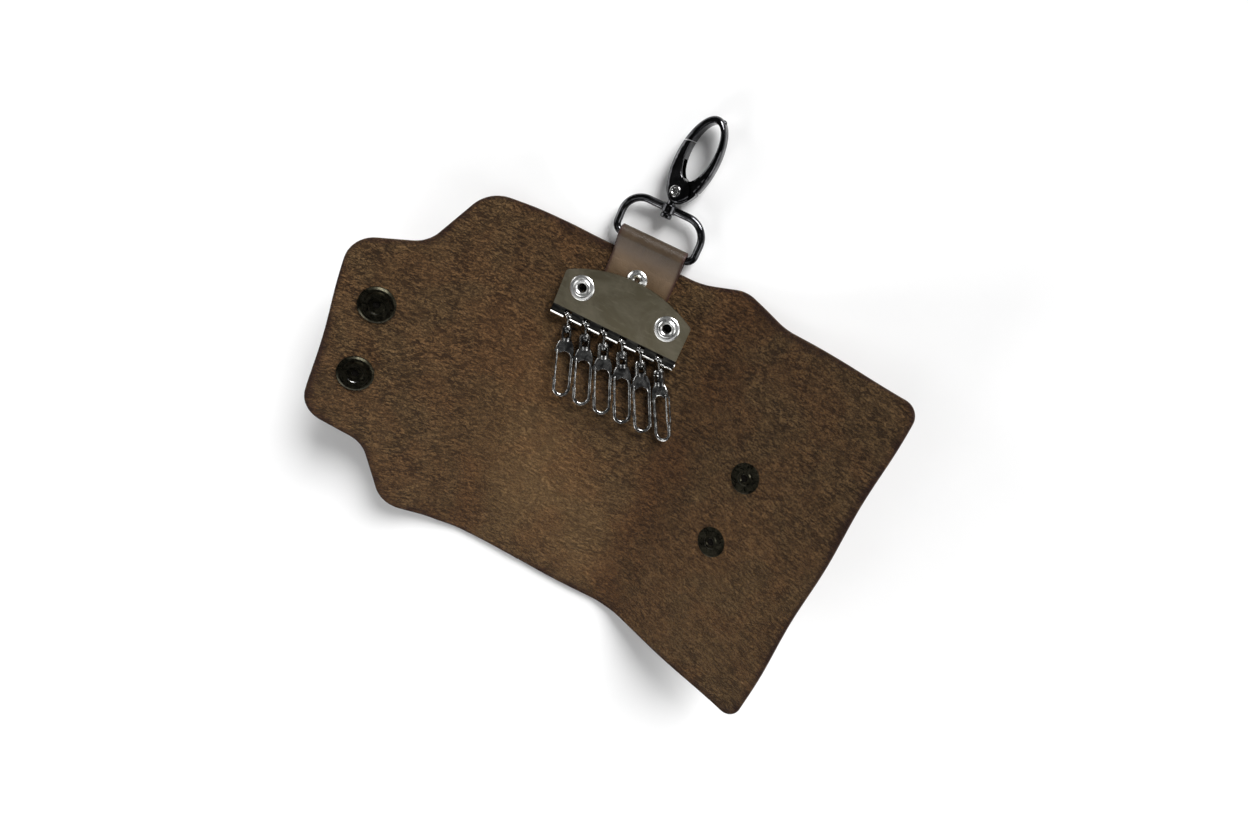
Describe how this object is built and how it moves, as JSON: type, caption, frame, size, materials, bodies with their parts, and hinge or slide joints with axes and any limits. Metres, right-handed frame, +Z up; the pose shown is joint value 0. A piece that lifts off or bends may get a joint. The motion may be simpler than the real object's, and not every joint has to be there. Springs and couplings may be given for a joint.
{
  "type": "leather key organiser",
  "caption": "Fold-over leather key case with a hook plate of sprung key hooks, snap closure and a swivel clasp on a leather loop.",
  "frame": {"origin": "on the table, straight under the middle of the key plate's hook row in X and the middle of the case in Y", "axes": "+X along the open case towards the right flap, +Y towards the clasp, +Z up, suede side up"},
  "size_m": [0.1777, 0.1683, 0.029],
  "materials": {
    "suede": "napped",
    "grain_leather": "smooth",
    "nickel": "polished",
    "dull_nickel": "satin",
    "antique_brass": "aged",
    "gunmetal": "polished",
    "spring_steel": "polished"
  },
  "bodies": {
    "case": {"leather_centre_panel": "suede", "leather_left_inner_fold": "suede", "leather_right_inner_fold": "suede", "loop_strap": "grain_leather", "strap_rivet": "nickel", "strap_rivet_cap": "nickel", "plate_rivet_left": "nickel", "plate_rivet_cap_left": "nickel", "plate_rivet_right": "nickel", "plate_rivet_cap_right": "nickel", "key_plate": "dull_nickel", "key_rod": "nickel"},
    "left_spine": {"leather_left_spine": "suede", "leather_left_outer_fold": "suede"},
    "left_flap": {"leather_left_flap": "suede", "snap_socket_upper": "antique_brass", "snap_cap_upper": "antique_brass", "snap_spring_upper": "spring_steel", "snap_socket_lower": "antique_brass", "snap_cap_lower": "antique_brass", "snap_spring_lower": "spring_steel"},
    "right_spine": {"leather_right_spine": "suede", "leather_right_outer_fold": "suede"},
    "right_flap": {"leather_right_flap": "suede", "snap_stud_upper": "antique_brass", "snap_eyelet_upper": "antique_brass", "snap_stud_lower": "antique_brass", "snap_eyelet_lower": "antique_brass"},
    "clasp_ring": {"clasp_ring": "gunmetal"},
    "clasp_hook": {"clasp_hook": "gunmetal", "clasp_gate_pin": "gunmetal", "clasp_gate_spring": "spring_steel"},
    "clasp_gate": {"clasp_gate": "gunmetal"},
    "stem_1": {"key_stem_1": "nickel"},
    "hook_1": {"key_hook_1": "nickel"},
    "gate_1": {"key_gate_1": "nickel"},
    "stem_2": {"key_stem_2": "nickel"},
    "hook_2": {"key_hook_2": "nickel"},
    "gate_2": {"key_gate_2": "nickel"},
    "stem_3": {"key_stem_3": "nickel"},
    "hook_3": {"key_hook_3": "nickel"},
    "gate_3": {"key_gate_3": "nickel"},
    "stem_4": {"key_stem_4": "nickel"},
    "hook_4": {"key_hook_4": "nickel"},
    "gate_4": {"key_gate_4": "nickel"},
    "stem_5": {"key_stem_5": "nickel"},
    "hook_5": {"key_hook_5": "nickel"},
    "gate_5": {"key_gate_5": "nickel"},
    "stem_6": {"key_stem_6": "nickel"},
    "hook_6": {"key_hook_6": "nickel"},
    "gate_6": {"key_gate_6": "nickel"}
  },
  "joints": [
    {"name": "left_inner_fold", "type": "hinge", "parent": "case", "child": "left_spine", "pos_m": [-0.0263, 0, 0.0015], "axis": [0, 1, 0], "range_deg": [-12.5, 77], "deforming": ["leather_left_inner_fold"]},
    {"name": "left_outer_fold", "type": "hinge", "parent": "left_spine", "child": "left_flap", "pos_m": [-0.03863, 0, 0.00435], "axis": [0, 1, 0], "range_deg": [-12.5, 77], "deforming": ["leather_left_outer_fold"]},
    {"name": "right_inner_fold", "type": "hinge", "parent": "case", "child": "right_spine", "pos_m": [0.0328, 0, 0.0015], "axis": [0, -1, 0], "range_deg": [-12.5, 77], "deforming": ["leather_right_inner_fold"]},
    {"name": "right_outer_fold", "type": "hinge", "parent": "right_spine", "child": "right_flap", "pos_m": [0.04045, 0, 0.00327], "axis": [0, -1, 0], "range_deg": [-12.5, 77], "deforming": ["leather_right_outer_fold"]},
    {"name": "hook_1_swing", "type": "hinge", "parent": "case", "child": "stem_1", "pos_m": [-0.01665, 0.0332, 0.00435], "axis": [1, 0, 0], "range_deg": [-110, 0]},
    {"name": "hook_1_swivel", "type": "hinge", "parent": "stem_1", "child": "hook_1", "pos_m": [-0.0151, 0.02824, 0.00451], "axis": [0.2972, -0.9543, 0.0314], "range_deg": [-9, 36]},
    {"name": "hook_1_gate", "type": "hinge", "parent": "hook_1", "child": "gate_1", "pos_m": [-0.01538, 0.02106, 0.0056], "axis": [0.3178, 0.1299, 0.9392], "range_deg": [0, 24], "stiffness_Nm_per_rad": 0.0008, "springref_deg": -6.02},
    {"name": "hook_2_swing", "type": "hinge", "parent": "case", "child": "stem_2", "pos_m": [-0.00999, 0.0332, 0.00435], "axis": [1, 0, 0], "range_deg": [-110, 0]},
    {"name": "hook_2_swivel", "type": "hinge", "parent": "stem_2", "child": "hook_2", "pos_m": [-0.00826, 0.0283, 0.00451], "axis": [0.3336, -0.9422, 0.0314], "range_deg": [-9, 36]},
    {"name": "hook_2_gate", "type": "hinge", "parent": "hook_2", "child": "gate_2", "pos_m": [-0.00825, 0.02112, 0.0056], "axis": [0.3125, 0.142, 0.9392], "range_deg": [0, 24], "stiffness_Nm_per_rad": 0.0008, "springref_deg": -6.02},
    {"name": "hook_3_swing", "type": "hinge", "parent": "case", "child": "stem_3", "pos_m": [-0.00333, 0.0332, 0.00435], "axis": [1, 0, 0], "range_deg": [-110, 0]},
    {"name": "hook_3_swivel", "type": "hinge", "parent": "stem_3", "child": "hook_3", "pos_m": [-0.00141, 0.02837, 0.00451], "axis": [0.3696, -0.9287, 0.0314], "range_deg": [-9, 36]},
    {"name": "hook_3_gate", "type": "hinge", "parent": "hook_3", "child": "gate_3", "pos_m": [-0.00113, 0.0212, 0.0056], "axis": [0.3069, 0.1539, 0.9392], "range_deg": [0, 24], "stiffness_Nm_per_rad": 0.0008, "springref_deg": -6.02},
    {"name": "hook_4_swing", "type": "hinge", "parent": "case", "child": "stem_4", "pos_m": [0.00333, 0.0332, 0.00435], "axis": [1, 0, 0], "range_deg": [-110, 0]},
    {"name": "hook_4_swivel", "type": "hinge", "parent": "stem_4", "child": "hook_4", "pos_m": [0.00544, 0.02845, 0.00451], "axis": [0.4049, -0.9138, 0.0314], "range_deg": [-9, 36]},
    {"name": "hook_4_gate", "type": "hinge", "parent": "hook_4", "child": "gate_4", "pos_m": [0.00599, 0.02129, 0.0056], "axis": [0.3007, 0.1656, 0.9392], "range_deg": [0, 24], "stiffness_Nm_per_rad": 0.0008, "springref_deg": -6.02},
    {"name": "hook_5_swing", "type": "hinge", "parent": "case", "child": "stem_5", "pos_m": [0.00999, 0.0332, 0.00435], "axis": [1, 0, 0], "range_deg": [-110, 0]},
    {"name": "hook_5_swivel", "type": "hinge", "parent": "stem_5", "child": "hook_5", "pos_m": [0.01228, 0.02853, 0.00451], "axis": [0.4397, -0.8976, 0.0314], "range_deg": [-9, 36]},
    {"name": "hook_5_gate", "type": "hinge", "parent": "hook_5", "child": "gate_5", "pos_m": [0.0131, 0.0214, 0.0056], "axis": [0.2942, 0.177, 0.9392], "range_deg": [0, 24], "stiffness_Nm_per_rad": 0.0008, "springref_deg": -6.02},
    {"name": "hook_6_swing", "type": "hinge", "parent": "case", "child": "stem_6", "pos_m": [0.01665, 0.0332, 0.00435], "axis": [1, 0, 0], "range_deg": [-110, 0]},
    {"name": "hook_6_swivel", "type": "hinge", "parent": "stem_6", "child": "hook_6", "pos_m": [0.01911, 0.02862, 0.00451], "axis": [-0.4739, 0.88, -0.0314], "range_deg": [-9, 36]},
    {"name": "hook_6_gate", "type": "hinge", "parent": "hook_6", "child": "gate_6", "pos_m": [0.02443, 0.0238, 0.0056], "axis": [0.3151, 0.1362, -0.9392], "range_deg": [0, 24], "stiffness_Nm_per_rad": 0.0008, "springref_deg": -6.02},
    {"name": "clasp_ring_swing", "type": "hinge", "parent": "case", "child": "clasp_ring", "pos_m": [0, 0.0651, 0.0036], "axis": [1, 0, 0], "range_deg": [-80, 100]},
    {"name": "clasp_swivel", "type": "hinge", "parent": "clasp_ring", "child": "clasp_hook", "pos_m": [0, 0.0777, 0.0036], "axis": [0, 1, 0], "continuous": true},
    {"name": "clasp_gate", "type": "hinge", "parent": "clasp_hook", "child": "clasp_gate", "pos_m": [0.00039, 0.0834, 0.00368], "axis": [0.1908, 0, -0.9816], "range_deg": [0, 22], "stiffness_Nm_per_rad": 0.01, "springref_deg": -10.03, "deforming": ["clasp_gate_spring"]}
  ],
  "couplings": [
    {"joint": "left_outer_fold", "follows": "left_inner_fold", "ratio": 1},
    {"joint": "right_outer_fold", "follows": "right_inner_fold", "ratio": 1}
  ]
}
